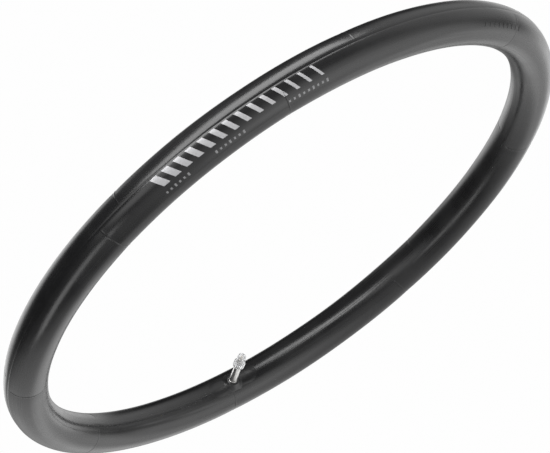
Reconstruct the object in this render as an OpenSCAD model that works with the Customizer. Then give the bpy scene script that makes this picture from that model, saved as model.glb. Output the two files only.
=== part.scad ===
// Bicycle inner tube, inflated, lying flat, with a slender two-stage (Presta) valve.
// Origin: centre of the ring. +Z is the ring's axis. The valve stands on the
// ring's inner side at -Y and points along +Y, towards the centre.

/* [Ring] */
// Diameter of the ring, measured through the middle of the tube's section
ring_d = 444; // [400:1:620]
// Outside diameter of the inflated tube's section
section_d = 31; // [26:0.5:50]
// Thickness of the butyl wall
wall = 1.2; // [0.8:0.1:2]

/* [Valve base] */
// Length of the rubber pad along the tube
pad_l = 48; // [34:1:60]
// Width of the rubber pad across the tube
pad_w = 16; // [14:1:20]
// Thickness of the rubber pad
pad_t = 0.6; // [0.5:0.1:1.2]
// Height of the rubber boss round the stem, above the tube
boss_h = 2.8; // [2.4:0.1:4]

/* [Stem] */
// Outside diameter of the stem
stem_d = 6; // [5.8:0.1:6.4]
// Height of the stem's end above the tube
stem_h = 25; // [24:1:60]

/* [Core] */
// Diameter of the thread that carries the cap
cap_thread_d = 5.2; // [5:0.1:5.4]
// Distance across the two wrench flats
flats_w = 4.4; // [4:0.1:4.8]
// Thread pitch of the pin
pin_pitch = 0.45; // [0.3:0.05:0.6]
// Turns of the thumb nut from shut to open
nut_turns = 4; // [2:1:4]

/* [Cap] */
// Outside diameter of the fluted skirt
skirt_d = 9.4; // [8.6:0.1:10]
// Outside diameter of the upper part
cap_top_d = 6.8; // [6.6:0.1:7.4]
// Number of grip flutes round the skirt
cap_flutes = 24; // [12:1:30]

/* [Hidden] */

ring_r = ring_d / 2;
section_r = section_d / 2;
inner_r = ring_r - section_r;      // radius of the ring's inner side
gap = 0.05;                        // running gap between turned parts
eps = 0.01;                        // overlap of one cutter with the next
over = 1;                          // overrun of a cutter past an open end

ring_fn = 180;
section_fn = 64;
turned_fn = 48;

// Everything below is a height above the tube's surface, along the valve.
foot_r = 4.8;                      // flange that anchors the stem in the rubber
foot_z = 0.9;
foot_t = 0.9;
collar_r = stem_d / 2 + 0.2;        // collar above the flange, gripped by the boss
collar_top = boss_h + 0.3;
boss_foot_r = 7.6;
boss_foot_z = -0.6;
boss_root = 4;                     // the boss runs this far down, to meet the tube's curve
boss_top_r = 4.6;
air_r = 1.3;                       // air way through stem and rubber
air_top = 2.5;                     // where it widens into the stem's chamber
chamber_r = 2.0;
seat_z = 18.5;                     // foot of the taper that the core seals on
seat_top = 20;
socket_r = 2.35;                   // threaded socket for the core

core_foot = 10;                    // lower end of the core's tube
core_tube_r = 1.6;
core_bore_r = 1.15;
core_thread_r = socket_r - gap;
cap_thread_l = 7.2;
core_top = stem_h + cap_thread_l;
flats_foot = stem_h + 0.2;         // lower end of the wrench flats
neck_r = 1.7;
neck_h = 0.4;
guide_r = 0.88;                    // hole that guides the pin
guide_l = 2.2;
core_seal_low = seat_z + 0.2;
core_seal_high = seat_top - 0.1;

nut_z = core_top + neck_h;         // the thumb nut stands on the core's neck
nut_h = 3.6;
nut_top = nut_z + nut_h;
nut_chamfer = 0.25;
nut_neck_h = 1;
nut_neck_r = 1.6;
nut_r = 2.25;
nut_grooves = 18;
groove_r = 0.18;

pin_r = 0.8;
pin_travel = pin_pitch * nut_turns;
pin_head_r = 0.95;
pin_head_h = 0.3;
pin_spare = 0.1;                   // thread left between the opened nut and the pin's head
pin_top = nut_top + pin_travel + pin_spare + pin_head_h;
pin_foot_r = 1.5;
pin_foot_tip_r = 0.9;
pin_foot_t = 1;
pin_seal_r = 1.75;
pin_seal_t = 1.7;
pin_seal_top = core_foot - gap;

cap_foot = stem_h + 0.3;
skirt_h = 4.3;
taper_h = 1.3;
cap_head_room = 1;                 // free space above the pin
cap_roof = 1;
cap_hollow_top = pin_top + cap_head_room;
cap_top = cap_hollow_top + cap_roof;
cap_bore_r = cap_thread_d / 2 + gap;
flute_r = 0.3;
dome_h = 1.3;
dome_top_r = 2.1;
groove_fn = 16;

// Moves its children from the valve's own axis (+Z) to the ring's inner side.
module at_valve() {
    translate([0, -inner_r, 0]) rotate([-90, 0, 0]) children();
}

// A full torus about the ring's axis.
module torus(r) {
    rotate_extrude($fn = ring_fn) translate([ring_r, 0]) circle(r, $fn = section_fn);
}

// A turned part: points are [radius, height] pairs.
module turned(points) {
    rotate_extrude($fn = turned_fn) polygon(points);
}

module bored(r, from, to) {
    translate([0, 0, from]) cylinder(r = r, h = to - from, $fn = turned_fn);
}

// Butyl hose joined end to end, with the air hole under the valve.
module tube() {
    color("#26272a") difference() {
        torus(section_r);
        torus(section_r - wall);
        at_valve() bored(air_r, -wall - over, over);
    }
}

// Outline of the pad with round ends.
module pad_outline() {
    run = (pad_l - pad_w) / 2;
    square([2 * run, pad_w], center = true);
    for (side = [-1, 1]) translate([side * run, 0]) circle(d = pad_w, $fn = section_fn);
}

// Rubber pad vulcanised to the tube, with the boss moulded round the stem's foot.
module valve_base() {
    pad_reach = section_r;         // the pad wraps back no further than this
    color("#1d1e20") difference() {
        union() {
            intersection() {
                torus(section_r + pad_t);
                at_valve() translate([0, 0, -pad_reach]) linear_extrude(pad_reach + boss_h) pad_outline();
            }
            at_valve() turned([[0, -boss_root], [boss_foot_r, -boss_root], [boss_foot_r, boss_foot_z],
                               [boss_top_r, boss_h], [0, boss_h]]);
        }
        torus(section_r);
        at_valve() {
            bored(air_r, -over, foot_z + eps);
            bored(foot_r, foot_z, foot_z + foot_t);
            bored(collar_r, foot_z + foot_t - eps, boss_h + over);
        }
    }
}

// Nickel-plated stem: flanged foot, air way, chamber, sealing taper and socket.
module valve_stem() {
    chamfer = 0.3;
    color("#c9cacb") at_valve() difference() {
        turned([[0, foot_z], [foot_r, foot_z], [foot_r, foot_z + foot_t],
                [collar_r, foot_z + foot_t], [collar_r, collar_top],
                [stem_d / 2, collar_top], [stem_d / 2, stem_h - chamfer],
                [stem_d / 2 - chamfer, stem_h], [0, stem_h]]);
        bored(air_r, foot_z - over, air_top + eps);
        bored(chamber_r, air_top, seat_z + eps);
        turned([[0, seat_z], [chamber_r, seat_z], [socket_r, seat_top], [0, seat_top]]);
        bored(socket_r, seat_top - eps, stem_h + over);
    }
}

// Removable valve core: sealing tube below, cap thread and wrench flats above.
module core_body() {
    color("#c4c2bd") at_valve() difference() {
        turned([[0, core_foot], [core_tube_r, core_foot], [core_tube_r, seat_top],
                [core_thread_r, seat_top], [core_thread_r, stem_h],
                [cap_thread_d / 2, stem_h], [cap_thread_d / 2, core_top],
                [neck_r, core_top], [neck_r, nut_z], [0, nut_z]]);
        bored(core_bore_r, core_foot - over, core_top - guide_l);
        bored(guide_r, core_foot, nut_z + over);
        for (side = [-1, 1])
            translate([-stem_d, side * (flats_w / 2 + stem_d / 2) - stem_d / 2, flats_foot])
                cube([2 * stem_d, stem_d, core_top - flats_foot + eps]);
    }
}

// Ring that seals the core against the stem's taper.
module core_seal() {
    taper = (socket_r - chamber_r) / (seat_top - seat_z);
    function seat_at(z) = chamber_r + taper * (z - seat_z) - gap;
    color("#b53a2c") at_valve()
        turned([[core_tube_r, core_seal_low], [seat_at(core_seal_low), core_seal_low],
                [seat_at(core_seal_high), core_seal_high], [core_tube_r, core_seal_high]]);
}

// Threaded pin with a foot that carries the seal and a peened head that stops the nut.
module valve_pin() {
    foot = pin_seal_top - pin_seal_t - pin_foot_t;
    color("#c9a35a") at_valve()
        turned([[0, foot], [pin_foot_tip_r, foot], [pin_foot_r, foot + pin_foot_t / 2],
                [pin_foot_r, foot + pin_foot_t], [pin_r, foot + pin_foot_t],
                [pin_r, pin_top - pin_head_h], [pin_head_r, pin_top - pin_head_h],
                [pin_head_r, pin_top], [0, pin_top]]);
}

// Rubber seal that the air presses against the core's lower end.
module pin_seal() {
    foot = pin_seal_top - pin_seal_t;
    color("#151515") at_valve() difference() {
        turned([[0, foot], [pin_seal_r, foot], [pin_seal_r, foot + pin_seal_t / 2],
                [core_tube_r, pin_seal_top], [0, pin_seal_top]]);
        bored(pin_r, foot - over, pin_seal_top + over);
    }
}

// Knurled nut that locks the pin shut.
module thumb_nut() {
    color("#c9cacb") at_valve() difference() {
        turned([[0, nut_z], [nut_neck_r, nut_z], [nut_neck_r, nut_z + nut_neck_h],
                [nut_r, nut_z + nut_neck_h + nut_chamfer], [nut_r, nut_top - nut_chamfer],
                [nut_r - nut_chamfer, nut_top], [0, nut_top]]);
        bored(pin_r + gap, nut_z - over, nut_top + over);
        for (i = [0:nut_grooves - 1])
            rotate(i * 360 / nut_grooves) translate([nut_r, 0, nut_z + nut_neck_h])
                cylinder(r = groove_r, h = nut_h, $fn = groove_fn);
    }
}

// Clear dust cap: fluted skirt, taper, upper part and domed end, hollow for the core.
module dust_cap() {
    skirt_r = skirt_d / 2;
    top_r = cap_top_d / 2;
    bore_top = cap_hollow_top - cap_head_room;
    color([0.86, 0.88, 0.9, 0.6]) at_valve() difference() {
        turned([[0, cap_foot], [skirt_r, cap_foot], [skirt_r, cap_foot + skirt_h],
                [top_r, cap_foot + skirt_h + taper_h], [top_r, cap_top - dome_h],
                [dome_top_r, cap_top], [0, cap_top]]);
        for (i = [0:cap_flutes - 1])
            rotate(i * 360 / cap_flutes) translate([skirt_r, 0, cap_foot - over])
                cylinder(r = flute_r, h = over + skirt_h + flute_r, $fn = groove_fn);
        bored(cap_bore_r, cap_foot - over, bore_top);
        turned([[0, bore_top - eps], [cap_bore_r, bore_top - eps],
                [pin_head_r + 2 * gap, cap_hollow_top], [0, cap_hollow_top]]);
    }
}

tube();
valve_base();
valve_stem();
core_body();
core_seal();
valve_pin();
pin_seal();
thumb_nut();
dust_cap();
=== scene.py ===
"""Looks of an inflated bicycle inner tube with a slender two-stage valve, built around its CAD frame.

Metres throughout. The ring's axis is +Z. The valve stands at -Y on the ring's inner side and points
along +Y. A place on the tube is given by two angles: "round" goes round the ring from +X towards +Y, and
"turn" goes round the section from the ring's outer side, upwards."""

import math

import bpy
import numpy as np
from mathutils import Matrix, Vector


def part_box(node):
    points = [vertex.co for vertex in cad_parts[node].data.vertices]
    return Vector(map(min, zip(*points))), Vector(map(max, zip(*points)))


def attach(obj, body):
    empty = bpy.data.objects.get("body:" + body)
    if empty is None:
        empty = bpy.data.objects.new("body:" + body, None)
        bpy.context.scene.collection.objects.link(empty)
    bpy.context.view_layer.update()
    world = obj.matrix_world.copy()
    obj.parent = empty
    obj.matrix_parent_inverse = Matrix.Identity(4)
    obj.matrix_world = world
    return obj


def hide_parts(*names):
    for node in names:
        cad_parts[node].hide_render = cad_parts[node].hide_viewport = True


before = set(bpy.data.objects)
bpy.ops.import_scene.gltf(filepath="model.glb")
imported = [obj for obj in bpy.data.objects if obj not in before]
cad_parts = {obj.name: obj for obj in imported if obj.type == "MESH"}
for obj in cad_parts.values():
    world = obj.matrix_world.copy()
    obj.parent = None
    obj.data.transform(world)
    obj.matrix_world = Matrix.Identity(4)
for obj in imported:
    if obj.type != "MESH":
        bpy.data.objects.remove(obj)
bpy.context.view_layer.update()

MM = 0.001
DEG = math.pi / 180

# ---------------------------------------------------------------- sizes from the frame
tube_low, tube_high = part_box("tube")
_, stem_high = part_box("valve_stem")
core_low, core_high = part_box("core_body")
nut_low, nut_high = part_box("thumb_nut")
pin_low, pin_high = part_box("valve_pin")
cap_low, cap_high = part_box("dust_cap")
pad_low, pad_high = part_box("valve_base")

SECTION_R = (tube_high[2] - tube_low[2]) / 2
RING_R = (tube_high[1] - tube_low[1]) / 2 - SECTION_R
INNER_R = RING_R - SECTION_R
VALVE_FOOT = -INNER_R                     # where the valve's axis meets the tube, on Y


def above(y):
    """Height above the tube of a place on the valve's axis."""
    return y - VALVE_FOOT


STEM_TOP = above(stem_high[1])
CORE_TOP = above(core_high[1])
NUT_FOOT, NUT_TOP = above(nut_low[1]), above(nut_high[1])
PIN_FOOT, PIN_TOP = above(pin_low[1]), above(pin_high[1])
CAP_FOOT, CAP_TOP = above(cap_low[1]), above(cap_high[1])
BOSS_TOP = above(pad_high[1])
PAD_HALF_LENGTH = (pad_high[0] - pad_low[0]) / 2
PAD_HALF_WIDTH = (pad_high[2] - pad_low[2]) / 2
STEM_R = 3.0 * MM                         # stated, because the stem's box is as wide as its flange
COLLAR_R = 3.2 * MM
CAP_THREAD_R = (core_high[0] - core_low[0]) / 2
NUT_R = (nut_high[0] - nut_low[0]) / 2
SKIRT_R = (cap_high[0] - cap_low[0]) / 2

# ---------------------------------------------------------------- features of the tube's surface
WAVE_HEIGHT = 0.10 * MM                   # slow unevenness of the moulded wall

# Parting lines of the mould, the outer one and the inner one: a shallow groove with a ridge of flash in it.
PARTING_TURNS = (3 * DEG, 178 * DEG)
PARTING_DEPTHS = (0.34 * MM, 0.05 * MM)
PARTING_REACH = 0.85 * MM
FLASH_HEIGHT, FLASH_WIDTH = 0.05 * MM, 0.15 * MM

# Vents, where segments of the mould meet: a fine ridge round the section in a wide, faint pinch.
# They stand at these places round the ring, above and below the outer parting line, and fade at both ends.
VENTS_UPPER = [d * DEG for d in (52, 107, 143, 186, 227, 269, 314, 359)]
VENTS_LOWER = [d * DEG for d in (2, 47, 92, 138, 183, 228, 274, 322)]
UPPER_SPAN = (8 * DEG, 170 * DEG)
LOWER_SPAN = (4 * DEG, 174 * DEG)
VENT_FADE = 10 * DEG
PINCH_DEPTH, PINCH_REACH = 0.20 * MM, 5 * MM
VENT_HEIGHT, VENT_WIDTH = 0.18 * MM, 0.35 * MM

# Packing creases: from and to round the ring, turn at both ends (degrees), and depth in millimetres.
CREASES = (
    (47, 78, 76, 66, 0.25),
    (50, 84, 84, 74, 0.22),
    (60, 88, 78, 81, 0.15),
    (196, 232, 128, 152, 0.30),
    (205, 266, 138, 154, 0.22),
    (238, 268, 150, 137, 0.25),
    (280, 305, 158, 150, 0.12),
)
CREASE_REACH = 1.0 * MM
CREASE_FADE = 0.25                        # share of its length over which a crease fades in, and out again

# Patches dulled by handling: middle and half length round the ring, middle and half width of the turn
# (degrees), and the loss of gloss.
DULL_PATCHES = (
    (-45, 42, 104, 26, 1.5),
    (125, 24, 87, 14, 1.5),
)
GLOSS_RANGE = (0.35, 0.75)                # gloss of the mould's segments


# ---------------------------------------------------------------- mesh helpers
def new_object(name, mesh):
    """The mesh as an object in the scene."""
    piece = bpy.data.objects.new(name, mesh)
    bpy.context.scene.collection.objects.link(piece)
    return piece


def mesh_from_grid(name, points, wrap_rows=False, wrap_columns=False, flip=False):
    """Smooth mesh object from a grid of points, shape (rows, columns, 3), and the points of its faces."""
    rows, columns = points.shape[:2]
    row_count = rows if wrap_rows else rows - 1
    column_count = columns if wrap_columns else columns - 1
    r, c = np.meshgrid(np.arange(row_count), np.arange(column_count), indexing="ij")
    r2, c2 = (r + 1) % rows, (c + 1) % columns
    corners = [r * columns + c, r * columns + c2, r2 * columns + c2, r2 * columns + c]
    if flip:
        corners.reverse()
    faces = np.stack([k.ravel() for k in corners], axis=1)
    mesh = bpy.data.meshes.new(name)
    mesh.vertices.add(rows * columns)
    mesh.vertices.foreach_set("co", points.reshape(-1).astype(np.float32))
    mesh.loops.add(faces.size)
    mesh.loops.foreach_set("vertex_index", faces.ravel().astype(np.int32))
    mesh.polygons.add(len(faces))
    mesh.polygons.foreach_set("loop_start", np.arange(0, faces.size, 4, dtype=np.int32))
    mesh.polygons.foreach_set("use_smooth", np.ones(len(faces), dtype=bool))
    mesh.update(calc_edges=True)
    return new_object(name, mesh), faces


def full_circle(count):
    """Evenly spaced angles round a full circle."""
    return np.arange(count) * 2 * math.pi / count


def smooth_step(x):
    """Rises smoothly from 0 at 0 to 1 at 1, and is level outside."""
    x = np.clip(x, 0, 1)
    return x * x * (3 - 2 * x)


def lathe(name, profile, columns=64, shape=None):
    """Turned piece about the valve's axis. profile is (radius, height) pairs in metres, closed on itself.
    shape(radius, height, angle) may change the radius for knurls, flutes and threads."""
    profile = np.array(profile)
    angle = full_circle(columns)
    radius = np.repeat(profile[:, 0:1], columns, axis=1)
    height = np.repeat(profile[:, 1:2], columns, axis=1)
    around = np.repeat(angle[None, :], len(profile), axis=0)
    if shape:
        radius = shape(radius, height, around)
    points = np.stack([radius * np.cos(around), VALVE_FOOT + height, -radius * np.sin(around)], axis=2)
    return mesh_from_grid(name, points, wrap_rows=True, wrap_columns=True)[0]


def rounded(points, radius, steps=4):
    """The closed outline through points, with each corner rounded by a curve of about this radius."""
    most = 0.45                           # share of a side that the rounding at its end may take
    out = []
    count = len(points)
    for i, point in enumerate(points):
        here = np.array(point)
        before = np.array(points[i - 1]) - here
        after = np.array(points[(i + 1) % count]) - here
        reach = min(radius, most * np.linalg.norm(before), most * np.linalg.norm(after))
        start = here + before / np.linalg.norm(before) * reach
        end = here + after / np.linalg.norm(after) * reach
        for k in range(steps + 1):
            t = k / steps
            out.append(tuple((1 - t) ** 2 * start + 2 * t * (1 - t) * here + t * t * end))
    return out


def spaced(profile, step):
    """The closed outline with extra points, so that none are further apart than step."""
    out = []
    for (x1, y1), (x2, y2) in zip(profile, profile[1:] + profile[:1]):
        pieces = max(1, math.ceil(math.hypot(x2 - x1, y2 - y1) / step))
        out += [(x1 + (x2 - x1) * k / pieces, y1 + (y2 - y1) * k / pieces) for k in range(pieces)]
    return out


def thread(height, angle, pitch, depth):
    """Depth of a screw thread cut at a place: 0 on the crest, depth in the root."""
    steepness, crest = 1.25, 0.1
    phase = (height / pitch - angle / (2 * math.pi)) % 1
    return depth * smooth_step(np.abs(phase - 0.5) * 2 * steepness - crest)


# ---------------------------------------------------------------- the tube's surface
def angle_gap(a, b):
    """Signed gap between two angles, between -pi and pi."""
    return (a - b + math.pi) % (2 * math.pi) - math.pi


def waves(round_, turn):
    """Slow unevenness of the moulded wall, mostly between -1 and 1: a sum of seeded waves."""
    wave_count, scale, least_size, phases = 14, 6, 0.4, 6.3
    fewest_around, most_around, most_across = 3, 21, 3
    rng = np.random.default_rng(7)
    total = 0
    for _ in range(wave_count):
        around = int(rng.integers(fewest_around, most_around + 1))
        across = int(rng.integers(0, most_across + 1))
        size = rng.uniform(least_size, 1)
        total = total + size * np.sin(around * round_ + across * turn + rng.uniform(0, phases))
    return total / scale


def within(angle, span):
    """1 between the two ends of the span, fading to 0 at both."""
    start, end = span
    return smooth_step((angle - start) / VENT_FADE) * smooth_step((end - angle) / VENT_FADE)


def relief(round_, turn):
    """Height of the real surface above the plain torus: slow waves, parting lines, vents and creases."""
    height = WAVE_HEIGHT * waves(round_, turn)
    for parting, depth in zip(PARTING_TURNS, PARTING_DEPTHS):
        across = np.abs(angle_gap(turn, parting)) * SECTION_R
        height = height - depth * np.exp(-across / PARTING_REACH)
        height = height + FLASH_HEIGHT * np.exp(-(across / FLASH_WIDTH) ** 2)
    signed = angle_gap(turn, 0)
    upper, lower = within(signed, UPPER_SPAN), within(-signed, LOWER_SPAN)
    for vents, side in ((VENTS_UPPER, upper), (VENTS_LOWER, lower)):
        for vent in vents:
            along = np.abs(angle_gap(round_, vent)) * RING_R
            height = height - PINCH_DEPTH * side * np.exp(-along / PINCH_REACH)
            height = height + VENT_HEIGHT * side * np.exp(-(along / VENT_WIDTH) ** 2)
    return height + crease(round_, turn)


def crease(round_, turn):
    """Faint packing creases that run slantwise along the tube where it was folded."""
    height = 0
    for start, end, turn_start, turn_end, depth in CREASES:
        share = (round_ - start * DEG) / ((end - start) * DEG)
        line = (turn_start + (turn_end - turn_start) * share) * DEG
        across = angle_gap(turn, line) * SECTION_R
        ends = smooth_step(share / CREASE_FADE) * smooth_step((1 - share) / CREASE_FADE)
        height = height - depth * MM * ends * np.exp(-np.abs(across) / CREASE_REACH)
    return height


def place(round_, turn, height):
    """Points at a height above the plain torus."""
    ring = RING_R + (SECTION_R + height) * np.cos(turn)
    z = (SECTION_R + height) * np.sin(turn)
    return np.stack([ring * np.cos(round_), ring * np.sin(round_), z], axis=-1)


def finely(base, lines, offsets):
    """Evenly spaced angles, with more of them at these offsets on both sides of each line."""
    closest = 0.02 * DEG
    extra = [line + side * offset for line in lines for offset in offsets for side in (-1, 1)]
    every = np.sort(np.array(list(base) + extra + list(lines)) % (2 * math.pi))
    keep = np.append(np.diff(every) > closest, True)
    return every[keep]


def segment_gloss(round_, turn):
    """How polished the rubber is: 0 to 1 as each segment of the mould left it, to -1 where it is dulled."""
    rng = np.random.default_rng(3)
    gloss = np.zeros_like(round_)
    upper = angle_gap(turn, PARTING_TURNS[0]) > 0
    for vents, side in ((VENTS_UPPER, upper), (VENTS_LOWER, ~upper)):
        edges = np.sort(np.array(vents))
        index = np.searchsorted(edges, round_ % (2 * math.pi))
        levels = rng.uniform(*GLOSS_RANGE, len(vents) + 1)
        levels[-1] = levels[0]            # the last segment and the first are one
        gloss = np.where(side, levels[index], gloss)
    for middle, half_length, across, half_width, loss in DULL_PATCHES:
        along = angle_gap(round_, middle * DEG) / (half_length * DEG)
        over = angle_gap(turn, across * DEG) / (half_width * DEG)
        gloss = gloss - loss * np.exp(-along**4 - over**4)
    return gloss


def map_share(angles, corner):
    """Share of the full circle at each corner of each face. A face across the seam runs on past 1."""
    share = (angles / (2 * math.pi))[corner]
    at_seam = (share.max(axis=1) - share.min(axis=1) > 0.5)[:, None]
    return np.where(at_seam & (share < 0.5), share + 1, share)


def build_tube():
    """The inflated tube, with a mesh that is finer at vents and parting lines, its gloss and its map."""
    near_vent = [k * DEG for k in (0.04, 0.08, 0.13, 0.2)]
    near_parting = [k * DEG for k in (0.4, 0.8, 1.3, 2.0, 4.2, 5.2, 7.5)]
    around_count, section_count = 600, 120
    rounds = finely(full_circle(around_count), VENTS_UPPER + VENTS_LOWER, near_vent)
    turns = finely(full_circle(section_count), PARTING_TURNS, near_parting)
    round_, turn = np.meshgrid(rounds, turns, indexing="ij")
    points = place(round_, turn, relief(round_, turn))
    piece, faces = mesh_from_grid("tube_skin", points, wrap_rows=True, wrap_columns=True, flip=True)
    gloss = piece.data.attributes.new("gloss", "FLOAT", "POINT")
    gloss.data.foreach_set("value", segment_gloss(round_, turn).ravel().astype(np.float32))
    # the map's u runs once round the ring, and its v once round the section
    uv = piece.data.uv_layers.new(name="map")
    u = map_share(rounds, faces // len(turns))
    v = map_share(turns, faces % len(turns))
    uv.data.foreach_set("uv", np.stack([u, v], axis=2).ravel().astype(np.float32))
    return piece


# ---------------------------------------------------------------- marks on the tube
def patch(corners, thickness, root):
    """Closed sliver that lies on the tube, thickness proud and root deep. corners are four (round, turn)
    pairs in order round it. Gives the points of its top layer, then its bottom one, and a layer's size."""
    point_count = 7                       # each way
    share = np.linspace(0, 1, point_count)
    s, t = np.meshgrid(share, share, indexing="ij")
    c = np.array(corners)
    weights = [(1 - s) * (1 - t), s * (1 - t), s * t, (1 - s) * t]
    round_ = sum(w * k[0] for w, k in zip(weights, c))
    turn = sum(w * k[1] for w, k in zip(weights, c))
    base = relief(round_, turn)
    top = place(round_, turn, base + thickness)
    bottom = place(round_, turn, base - root)
    return np.concatenate([top.reshape(-1, 3), bottom.reshape(-1, 3)]), s.shape


def join_patches(name, patches):
    """One mesh object made of all the slivers."""
    vertices, faces = [], []
    for points, (rows, columns) in patches:
        first = len(vertices)
        layer = rows * columns
        vertices += [tuple(p) for p in points]
        for r in range(rows - 1):
            for c in range(columns - 1):
                a = first + r * columns + c
                b, d = a + 1, a + columns
                e = d + 1
                faces.append((a, b, e, d))
                faces.append((a + layer, d + layer, e + layer, b + layer))
        rim = [r * columns for r in range(rows)]
        rim += [(rows - 1) * columns + c for c in range(1, columns)]
        rim += [r * columns + columns - 1 for r in range(rows - 2, -1, -1)]
        rim += [c for c in range(columns - 2, 0, -1)]
        for k, m in zip(rim, rim[1:] + rim[:1]):
            faces.append((first + k, first + m, first + m + layer, first + k + layer))
    mesh = bpy.data.meshes.new(name)
    mesh.from_pydata(vertices, [], faces)
    mesh.update()
    return new_object(name, mesh)


def bar(middle, width, turn_low, turn_high, slant=0.0, **size):
    """Bar across the tube: middle and width are round angles, slant moves its upper end along the ring."""
    return patch(
        [
            (middle - width / 2 - slant / 2, turn_low),
            (middle + width / 2 - slant / 2, turn_low),
            (middle + width / 2 + slant / 2, turn_high),
            (middle - width / 2 + slant / 2, turn_high),
        ],
        **size,
    )


INK = {"thickness": 0.05 * MM, "root": 0.15 * MM}
PRINT_FROM, PRINT_TO = 99.3 * DEG, 131.7 * DEG    # round angles at the ends of the row of stripes
PRINT_LOW, PRINT_HIGH = 7 * DEG, 40 * DEG         # turn angles at the ends of each stripe


def build_stripes():
    """Silver speed stripes: slanted bars that grow thinner along the tube."""
    count, slant = 14, -1.2 * DEG
    pitch = (PRINT_TO - PRINT_FROM) / count
    widest, narrowing = 0.56, 0.34        # share of the pitch
    bars = []
    for k in range(count):
        middle = PRINT_TO - (k + 0.5) * pitch
        width = pitch * (widest - narrowing * k / (count - 1))
        bars.append(bar(middle, width, PRINT_LOW, PRINT_HIGH, slant=slant, **INK))
    return join_patches("printed_stripes", bars)


def build_ticks():
    """Three groups of small grey ticks beside the stripes."""
    pitch, width, turn = 0.9 * DEG, 0.35 * DEG, 57 * DEG
    short, long = 6 * DEG, 9 * DEG
    groups = ((99 * DEG, 9), (115 * DEG, 7), (126 * DEG, 6))
    bars = []
    for start, count in groups:
        for k in range(count):
            middle = start + (k + 0.5) * pitch
            reach = short if k % 3 else long
            bars.append(bar(middle, width, turn - reach / 2, turn + reach / 2, **INK))
    return join_patches("printed_ticks", bars)


def build_moulded_marks():
    """Low moulded bars in the rubber itself."""
    count, first, pitch, width = 9, 51 * DEG, 1.5 * DEG, 0.7 * DEG
    low, high = 44 * DEG, 56 * DEG
    bars = []
    for k in range(count):
        middle = first + k * pitch
        bars.append(bar(middle, width, low, high, thickness=0.12 * MM, root=0.3 * MM))
    return join_patches("moulded_marks", bars)


# ---------------------------------------------------------------- valve pad
PAD_THICKNESS, PAD_FEATHER = 0.33 * MM, 6.5 * MM
PAD_TUCK = 0.03 * MM                      # the rim dips this far under the tube's surface
PAD_ROOT = 0.5 * MM

# Outline of the boss: distance from the valve's axis, and height above the tube, in millimetres.
BOSS_OUTLINE = ((4.2, 2.8), (4.9, 2.55), (7.6, -0.6), (12, -9))
BOSS_BLEND = 1.5 * MM


def build_pad():
    """Vulcanised pad with feathered edges, and the boss round the stem, meshed in rings round the valve."""
    rim_count, ring_count, crowding = 200, 60, 1.25
    angle = full_circle(rim_count)
    run = PAD_HALF_LENGTH - PAD_HALF_WIDTH
    # outline of a shape with round ends, as a distance from the middle in each direction
    c, s = np.abs(np.cos(angle)), np.abs(np.sin(angle))
    tiny = 1e-9
    straight = PAD_HALF_WIDTH / np.maximum(s, tiny)
    end = run * c + np.sqrt(np.maximum(PAD_HALF_WIDTH**2 - (run * s) ** 2, 0))
    reach = np.where(straight * c <= run, straight, end)
    share = np.linspace(0, 1, ring_count) ** crowding
    radius = COLLAR_R + share[:, None] * (reach - COLLAR_R)[None, :]
    x, z = radius * np.cos(angle), radius * np.sin(angle)
    from_rim = (reach[None, :] - COLLAR_R) * (1 - share[:, None])
    tube_ring = RING_R - np.sqrt(SECTION_R**2 - z**2)
    tube_y = -np.sqrt(tube_ring**2 - x**2)
    lean = np.sqrt(1 - (z / SECTION_R) ** 2)
    pad_y = tube_y + (PAD_THICKNESS * smooth_step(from_rim / PAD_FEATHER) - PAD_TUCK) / lean
    boss_radii, boss_heights = np.array(BOSS_OUTLINE).T * MM
    boss_y = VALVE_FOOT + np.interp(np.hypot(x, z), boss_radii, boss_heights)
    # the higher of pad and boss, with a smooth hollow where they meet
    mix = np.clip(0.5 + 0.5 * (boss_y - pad_y) / BOSS_BLEND, 0, 1)
    top_y = pad_y * (1 - mix) + boss_y * mix + BOSS_BLEND * mix * (1 - mix)
    top_y = np.minimum(top_y, VALVE_FOOT + BOSS_TOP)
    top = np.stack([x, top_y, z], axis=2)
    under = np.stack([x, tube_y - PAD_ROOT / lean, z], axis=2)
    points = np.concatenate([top, under[::-1]])
    return mesh_from_grid("valve_pad", points, wrap_rows=True, wrap_columns=True)[0]


# ---------------------------------------------------------------- turned pieces of the valve
SEAT_LOW, SEAT_HIGH = 18.5 * MM, 20 * MM  # taper in the stem that the core's seal sits on


def build_stem():
    """Stem with its flange, collar, air way, chamber, sealing taper and socket."""
    foot, flange_top = 0.9 * MM, 1.8 * MM
    flange_r, air_r, chamber_r, socket_r = 4.8 * MM, 1.3 * MM, 2.0 * MM, 2.36 * MM
    air_top, chamfer = 2.5 * MM, 0.3 * MM
    profile = rounded(
        [
            (air_r, foot),
            (flange_r, foot),
            (flange_r, flange_top),
            (COLLAR_R, flange_top),
            (COLLAR_R, BOSS_TOP + 0.3 * MM),
            (STEM_R, BOSS_TOP + 0.34 * MM),
            (STEM_R, STEM_TOP - chamfer),
            (STEM_R - chamfer, STEM_TOP),
            (socket_r, STEM_TOP),
            (socket_r, SEAT_HIGH),
            (chamber_r, SEAT_LOW),
            (chamber_r, air_top),
            (air_r, air_top),
        ],
        0.12 * MM,
    )
    return lathe("stem", profile, columns=72)


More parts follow.
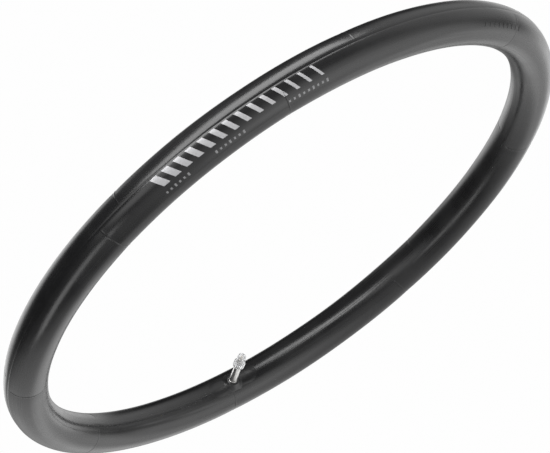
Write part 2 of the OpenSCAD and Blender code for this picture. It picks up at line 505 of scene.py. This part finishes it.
def build_core():
    """Core with its sealing tube, the cap's thread cut by two wrench flats, and the neck under the nut."""
    foot, shoulder = 10 * MM, STEM_TOP + 0.02 * MM
    bore_r, tube_r, body_r, neck_r, guide_r = 1.15 * MM, 1.6 * MM, 2.3 * MM, 1.7 * MM, 0.88 * MM
    neck_foot, neck_top, chamfer = CORE_TOP - 0.4 * MM, NUT_FOOT - 0.02 * MM, 0.35 * MM
    flats_foot, half_flats = STEM_TOP + 0.2 * MM, 2.2 * MM
    pitch, depth = 1.058 * MM, 0.32 * MM
    profile = rounded(
        [
            (bore_r, foot),
            (tube_r, foot),
            (tube_r, SEAT_HIGH),
            (body_r, SEAT_HIGH),
            (body_r, shoulder),
            (CAP_THREAD_R, shoulder),
            (CAP_THREAD_R, neck_foot - chamfer),
            (CAP_THREAD_R - chamfer, neck_foot),
            (neck_r, neck_foot),
            (neck_r, neck_top),
            (guide_r, neck_top),
            (guide_r, CORE_TOP - 2.6 * MM),
            (bore_r, CORE_TOP - 2.8 * MM),
        ],
        0.06 * MM,
        steps=2,
    )

    def threaded(radius, height, angle):
        outer = (radius > body_r + 0.05 * MM) & (height > STEM_TOP + 0.3 * MM)
        return np.where(outer, radius - thread(height, angle, pitch, depth), radius)

    piece = lathe("core", spaced(profile, 0.11 * MM), shape=threaded)
    for v in piece.data.vertices:
        if v.co.y > VALVE_FOOT + flats_foot:
            v.co.z = min(max(v.co.z, -half_flats), half_flats)
    return piece


def build_nut():
    """Knurled thumb nut with a neck below."""
    bore_r, neck_r, neck_top = 0.85 * MM, 1.6 * MM, NUT_FOOT + 1.0 * MM
    knurls, knurl_depth = 26, 0.16 * MM
    profile = rounded(
        [
            (bore_r, NUT_FOOT),
            (neck_r, NUT_FOOT),
            (neck_r, neck_top),
            (NUT_R, neck_top + 0.25 * MM),
            (NUT_R, NUT_TOP - 0.3 * MM),
            (NUT_R - 0.45 * MM, NUT_TOP),
            (bore_r, NUT_TOP),
        ],
        0.1 * MM,
    )

    def knurled(radius, height, angle):
        rim = radius > NUT_R - 0.12 * MM
        return np.where(rim, radius - knurl_depth * (0.5 + 0.5 * np.cos(knurls * angle)), radius)

    return lathe("lock_nut", spaced(profile, 0.3 * MM), columns=8 * knurls, shape=knurled)


def build_pin():
    """Threaded pin with a wide foot and a peened head."""
    axis_r, tip_r, foot_r, shaft_r, head_r = 0.02 * MM, 0.9 * MM, 1.5 * MM, 0.8 * MM, 0.95 * MM
    foot_top, head_foot = PIN_FOOT + 1.0 * MM, PIN_TOP - 0.3 * MM
    pitch, depth = 0.45 * MM, 0.12 * MM
    profile = rounded(
        [
            (axis_r, PIN_FOOT),
            (tip_r, PIN_FOOT),
            (foot_r, PIN_FOOT + 0.5 * MM),
            (foot_r, foot_top),
            (shaft_r, foot_top),
            (shaft_r, head_foot),
            (head_r, head_foot),
            (head_r, PIN_TOP - 0.08 * MM),
            (0.6 * MM, PIN_TOP),
            (axis_r, PIN_TOP),
        ],
        0.05 * MM,
        steps=2,
    )

    def threaded(radius, height, angle):
        on_shaft = np.abs(radius - shaft_r) < 0.02 * MM
        cut = on_shaft & (height > NUT_FOOT - 2 * MM) & (height < head_foot - 0.1 * MM)
        return np.where(cut, radius - thread(height, angle, pitch, depth), radius)

    return lathe("pin", spaced(profile, 0.075 * MM), columns=32, shape=threaded)


def build_cap():
    """Clear cap: fluted skirt, shoulder, upper part and domed end, hollow for the core."""
    skirt_top = CAP_FOOT + 4.3 * MM
    upper_r = 3.4 * MM
    bore, axis_r = CAP_THREAD_R + 0.05 * MM, 0.03 * MM
    roof, chamfer = CAP_TOP - 1.0 * MM, 0.25 * MM
    flutes, flute_depth = 24, 0.22 * MM
    profile = rounded(
        [
            (bore, CAP_FOOT),
            (SKIRT_R - chamfer, CAP_FOOT),
            (SKIRT_R, CAP_FOOT + chamfer),
            (SKIRT_R, skirt_top),
            (upper_r + 0.15 * MM, skirt_top + 1.3 * MM),
            (upper_r, skirt_top + 2.2 * MM),
            (upper_r - 0.15 * MM, CAP_TOP - 1.6 * MM),
            (2.5 * MM, CAP_TOP - 0.35 * MM),
            (1.2 * MM, CAP_TOP),
            (axis_r, CAP_TOP),
            (axis_r, roof),
            (1.1 * MM, roof),
            (2.1 * MM, roof - 1.6 * MM),
            (bore - 0.25 * MM, NUT_FOOT + 0.9 * MM),
            (bore, NUT_FOOT - 0.3 * MM),
        ],
        0.35 * MM,
    )

    def fluted(radius, height, angle):
        rim = smooth_step((radius - (SKIRT_R - 0.6 * MM)) / (0.35 * MM))
        return radius - rim * flute_depth * (0.5 + 0.5 * np.cos(flutes * angle)) ** 2

    return lathe("cap_shell", spaced(profile, 0.45 * MM), columns=8 * flutes, shape=fluted)


# ---------------------------------------------------------------- materials
def material(name):
    """New material, its node tree and its main shader."""
    m = bpy.data.materials.new(name)
    m.use_nodes = True
    tree = m.node_tree
    return m, tree, tree.nodes["Principled BSDF"]


def node(tree, kind, **settings):
    """New node. A setting goes to the socket of its name or, where there is none, to the node itself."""
    n = tree.nodes.new(kind)
    for key, value in settings.items():
        if key in n.inputs:
            n.inputs[key].default_value = value
        else:
            setattr(n, key, value)
    return n


def noise(tree, scale, detail=3.0, roughness=0.5, coordinates=None):
    """Noise from about 0.3 to 0.7, in object space unless coordinates are given."""
    n = node(tree, "ShaderNodeTexNoise", Scale=scale, Detail=detail, Roughness=roughness)
    tree.links.new(coordinates or node(tree, "ShaderNodeTexCoord").outputs["Object"], n.inputs["Vector"])
    return n.outputs["Fac"]


def mapped(tree, value, low, high, to_low, to_high):
    """The value rescaled from low and high to to_low and to_high, and held between them."""
    n = tree.nodes.new("ShaderNodeMapRange")
    tree.links.new(value, n.inputs["Value"])
    for key, number in zip(("From Min", "From Max", "To Min", "To Max"), (low, high, to_low, to_high)):
        n.inputs[key].default_value = number
    return n.outputs["Result"]


def combined(tree, first, second, operation="ADD"):
    """Sum, or another operation, of two values that are sockets or plain numbers."""
    n = node(tree, "ShaderNodeMath", operation=operation)
    for k, value in enumerate((first, second)):
        if isinstance(value, (int, float)):
            n.inputs[k].default_value = value
        else:
            tree.links.new(value, n.inputs[k])
    return n.outputs["Value"]


def mixed(tree, factor, dark, light):
    """Colour between two: the first where the factor is 0, the second where it is 1."""
    n = node(tree, "ShaderNodeMix", data_type="RGBA")
    tree.links.new(factor, n.inputs["Factor"])
    n.inputs["A"].default_value = (*dark, 1)
    n.inputs["B"].default_value = (*light, 1)
    return n.outputs["Result"]


def bumped(tree, shader, height, distance):
    """Gives the shader a relief that is too fine for the mesh."""
    n = node(tree, "ShaderNodeBump", Distance=distance, Strength=1.0)
    tree.links.new(height, n.inputs["Height"])
    tree.links.new(n.outputs["Normal"], shader.inputs["Normal"])


def rubber(name, dark, light, roughness, has_map):
    """Moulded butyl: fine grain, faint mould streaks along the tube and a patchy bloom."""
    m, tree, shader = material(name)
    bloom = noise(tree, 26, detail=5, roughness=0.6)
    grain = noise(tree, 2600, detail=2)
    colour = mixed(tree, mapped(tree, bloom, 0.35, 0.7, 0, 1), dark, light)
    tree.links.new(colour, shader.inputs["Base Color"])
    rough = combined(tree, mapped(tree, bloom, 0.3, 0.7, -0.04, 0.05), roughness)
    rough = combined(tree, rough, mapped(tree, grain, 0.3, 0.7, -0.02, 0.02))
    height = grain
    if has_map:
        gloss = node(tree, "ShaderNodeAttribute", attribute_name="gloss").outputs["Fac"]
        rough = combined(tree, rough, mapped(tree, gloss, -1, 1, 0.30, -0.10))
        stretch = node(tree, "ShaderNodeMapping", Scale=(14, 90, 1))
        uv = node(tree, "ShaderNodeUVMap", uv_map="map")
        tree.links.new(uv.outputs["UV"], stretch.inputs["Vector"])
        streaks = noise(tree, 1.0, detail=6, roughness=0.7, coordinates=stretch.outputs["Vector"])
        height = combined(tree, grain, mapped(tree, streaks, 0.3, 0.7, 0, 1.5))
        rough = combined(tree, rough, mapped(tree, streaks, 0.35, 0.65, -0.03, 0.03))
    tree.links.new(rough, shader.inputs["Roughness"])
    bumped(tree, shader, height, 0.004 * MM)
    shader.inputs["Specular IOR Level"].default_value = 0.5
    return m


def metal(name, dark, light, roughness, line_scale):
    """Plated or turned metal with fine lathe lines round the valve's axis and a slight tarnish."""
    m, tree, shader = material(name)
    stretch = node(tree, "ShaderNodeMapping", Scale=(60, line_scale, 60))
    tree.links.new(node(tree, "ShaderNodeTexCoord").outputs["Object"], stretch.inputs["Vector"])
    lines = noise(tree, 1.0, detail=3, coordinates=stretch.outputs["Vector"])
    tarnish = noise(tree, 420, detail=4)
    colour = mixed(tree, mapped(tree, tarnish, 0.35, 0.7, 1, 0), dark, light)
    tree.links.new(colour, shader.inputs["Base Color"])
    rough = combined(tree, mapped(tree, tarnish, 0.3, 0.7, -0.04, 0.06), roughness)
    rough = combined(tree, rough, mapped(tree, lines, 0.3, 0.7, -0.03, 0.03))
    tree.links.new(rough, shader.inputs["Roughness"])
    bumped(tree, shader, lines, 0.003 * MM)
    shader.inputs["Metallic"].default_value = 1.0
    return m


def clear_plastic():
    """Milky clear moulding with faint flow marks."""
    m, tree, shader = material("cap_clear")
    flow = noise(tree, 340, detail=4, roughness=0.6)
    colour = mixed(tree, mapped(tree, flow, 0.3, 0.7, 0, 1), (0.86, 0.87, 0.88), (0.96, 0.96, 0.97))
    tree.links.new(colour, shader.inputs["Base Color"])
    tree.links.new(mapped(tree, flow, 0.3, 0.7, 0.20, 0.32), shader.inputs["Roughness"])
    bumped(tree, shader, flow, 0.02 * MM)
    shader.inputs["Transmission Weight"].default_value = 0.7
    shader.inputs["IOR"].default_value = 1.35
    return m


def ink(name, colour, worn):
    """Silver or grey print that has soaked unevenly into the rubber."""
    m, tree, shader = material(name)
    speckle = noise(tree, 900, detail=5, roughness=0.65)
    patchy = noise(tree, 120, detail=3)
    patches = mapped(tree, patchy, 0.35, 0.7, 0.1, 0.9)
    wear = combined(tree, mapped(tree, speckle, 0.5, 0.72, 0, 1), patches, "MULTIPLY")
    tree.links.new(mixed(tree, wear, colour, worn), shader.inputs["Base Color"])
    tree.links.new(mapped(tree, speckle, 0.3, 0.7, 0.38, 0.55), shader.inputs["Roughness"])
    bumped(tree, shader, speckle, 0.006 * MM)
    shader.inputs["Metallic"].default_value = 0.25
    return m


def give(piece, body, slot, look, *replaced):
    """Puts the look on the piece, lets it ride on its body and stand for the CAD nodes that it replaces.
    The slot argument is not used."""
    piece.data.materials.clear()
    piece.data.materials.append(look)
    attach(piece, body)
    if replaced:
        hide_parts(*replaced)


RUBBER_COLOURS = (0.009, 0.009, 0.0095), (0.016, 0.016, 0.0165)
butyl = rubber("butyl_rubber", *RUBBER_COLOURS, 0.26, has_map=True)
pad_rubber = rubber("pad_rubber", *RUBBER_COLOURS, 0.32, has_map=False)
stem_nickel = metal("stem_nickel", (0.78, 0.77, 0.75), (0.93, 0.92, 0.90), 0.30, 9000)
core_nickel = metal("core_nickel", (0.45, 0.42, 0.36), (0.72, 0.70, 0.65), 0.24, 9000)
pin_brass = metal("pin_brass", (0.46, 0.33, 0.15), (0.74, 0.57, 0.30), 0.26, 12000)
silver_ink = ink("silver_ink", (0.47, 0.47, 0.48), (0.28, 0.28, 0.29))
grey_ink = ink("grey_ink", (0.24, 0.24, 0.245), (0.12, 0.12, 0.12))
red_seal = rubber("red_seal", (0.32, 0.03, 0.02), (0.42, 0.05, 0.03), 0.5, has_map=False)

give(build_tube(), "tube", "butyl", butyl, "tube")
give(build_stripes(), "tube", None, silver_ink)
give(build_ticks(), "tube", None, grey_ink)
give(build_moulded_marks(), "tube", "butyl", pad_rubber)
give(build_pad(), "tube", "pad_rubber", pad_rubber, "valve_base")
give(build_stem(), "tube", "stem_nickel", stem_nickel, "valve_stem")
give(build_core(), "tube", "core_nickel", core_nickel, "core_body")
give(build_nut(), "nut", "core_nickel", core_nickel, "thumb_nut")
give(build_pin(), "pin", "pin_brass", pin_brass, "valve_pin")
give(build_cap(), "cap", "cap_plastic", clear_plastic(), "dust_cap")
# the two seals keep their CAD shape
for name, look in (("core_seal", red_seal), ("pin_seal", pad_rubber)):
    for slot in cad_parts[name].material_slots:
        slot.material = look


# ---------------------------------------------------------------- floor, light and camera
def towards(azimuth, elevation, distance):
    """Place at a distance from the ring's centre. Azimuth is from +X towards +Y."""
    a, e = azimuth * DEG, elevation * DEG
    return Vector((math.cos(a) * math.cos(e), math.sin(a) * math.cos(e), math.sin(e))) * distance


def build_floor():
    """Pale floor that the tube lies on. It is seen, also through the clear cap, but it neither lights nor
    shades anything, and lets through the light from below."""
    half, brightness = 6.0, 0.99
    level = tube_low[2] - 0.2 * MM
    grid = np.array([[[x, y, level] for y in (-half, half)] for x in (-half, half)])
    floor, _ = mesh_from_grid("floor", grid, flip=True)
    m, tree, shader = material("floor_white")
    glow = node(tree, "ShaderNodeEmission", Color=(1, 1, 1, 1), Strength=brightness)
    tree.links.new(glow.outputs["Emission"], tree.nodes["Material Output"].inputs["Surface"])
    tree.nodes.remove(shader)
    floor.data.materials.append(m)
    for sight in ("visible_diffuse", "visible_glossy", "visible_shadow"):
        setattr(floor, sight, False)


# Soft glows and black flags of the studio surround: azimuth, elevation, core and reach in degrees, and then
# the strength of a glow or the share of light that a flag takes away.
GLOWS = {
    "high_front": (-12, 57, 22, 42, 0.8),
    "high_right": (35, 56, 22, 42, 0.85),
    "high_left": (110, 65, 10, 50, 0.6),
    "back_right": (-48, 22, 14, 38, 0.85),
    "behind": (-98, 15, 10, 45, 0.8),
    "level_front": (-36, -12, 12, 30, 1.0),
    "level_right": (24, -14, 16, 48, 0.8),
    "left_wing": (148, 2, 8, 22, 1.6),
    "low_kicker": (-86, -46, 12, 30, 1.5),
}
FLAGS = {
    "under_back": (-40, -58, 14, 28, 0.9),
    "low_left": (-165, -30, 25, 42, 0.8),
}
SURROUND = 0.15


def build_world():
    """Soft studio surround: a few wide glows over a dim grey, dimmed by the flags."""
    world = bpy.data.worlds.new("studio")
    world.use_nodes = True
    tree = world.node_tree
    direction = node(tree, "ShaderNodeTexCoord").outputs["Generated"]

    def spot(azimuth, elevation, core, reach, at_core, outside):
        """at_core within the core's angle of a direction, changing smoothly to outside at its reach."""
        facing = node(tree, "ShaderNodeVectorMath", operation="DOT_PRODUCT")
        tree.links.new(direction, facing.inputs[0])
        facing.inputs[1].default_value = towards(azimuth, elevation, 1)
        falloff = node(tree, "ShaderNodeMapRange", interpolation_type="SMOOTHSTEP")
        tree.links.new(facing.outputs["Value"], falloff.inputs["Value"])
        falloff.inputs["From Min"].default_value = math.cos(reach * DEG)
        falloff.inputs["From Max"].default_value = math.cos(core * DEG)
        falloff.inputs["To Min"].default_value = outside
        falloff.inputs["To Max"].default_value = at_core
        return falloff.outputs["Result"]

    total = SURROUND
    for *shape, strength in GLOWS.values():
        total = combined(tree, spot(*shape, strength, 0), total)
    for *shape, share in FLAGS.values():
        total = combined(tree, spot(*shape, 1 - share, 1), total, "MULTIPLY")
    sky = tree.nodes["Background"]
    sky.inputs["Color"].default_value = (1, 1, 1, 1)
    tree.links.new(total, sky.inputs["Strength"])
    bpy.context.scene.world = world


def area_light(name, position, along, size, radiance):
    """Softbox at a position, facing the ring's centre, with its long side along a direction."""
    data = bpy.data.lights.new(name, "AREA")
    data.shape = "RECTANGLE"
    data.size, data.size_y = size
    data.energy = radiance * math.pi * size[0] * size[1]
    lamp = bpy.data.objects.new(name, data)
    bpy.context.scene.collection.objects.link(lamp)
    lamp.visible_camera = False
    back = position.normalized()
    across = (along - back * along.dot(back)).normalized()
    axes = Matrix((across, back.cross(across), back)).transposed()
    lamp.matrix_world = Matrix.Translation(position) @ axes.to_4x4()


def build_camera():
    """Long lens above the ring, rolled so that the ring runs from lower left to upper right. Its direction,
    distance, aim and lens were fitted to the outline of the photographed ring."""
    azimuth, elevation, roll = 120.30, 21.62, 217.21
    distance = 7.287 * RING_R
    aim_right, aim_up = 0.0064 * RING_R, -0.0581 * RING_R
    data = bpy.data.cameras.new("camera")
    data.sensor_width = 36
    data.lens = 144.84
    data.clip_start, data.clip_end = 0.05, 60
    camera = bpy.data.objects.new("camera", data)
    bpy.context.scene.collection.objects.link(camera)
    back = towards(azimuth, elevation, 1)
    right = Vector((0, 0, 1)).cross(back).normalized()
    up = back.cross(right)
    turned = Matrix.Rotation(-roll * DEG, 3, back)
    position = back * distance + right * aim_right + up * aim_up
    axes = Matrix((turned @ right, turned @ up, back)).transposed()
    camera.matrix_world = Matrix.Translation(position) @ axes.to_4x4()
    bpy.context.scene.camera = camera


build_floor()
build_world()
area_light(
    "main_softbox",
    position=Vector((-0.14, 0.48, -0.27)),
    along=Vector((-0.91, -0.24, 0.42)),
    size=(0.80, 0.24),
    radiance=6,
)
area_light(
    "rim_strip",
    position=towards(-170, 30, 1.3),
    along=Vector((0.17, -0.98, 0)),
    size=(1.1, 0.28),
    radiance=2.4,
)
build_camera()
bpy.context.scene.view_settings.view_transform = "Standard"
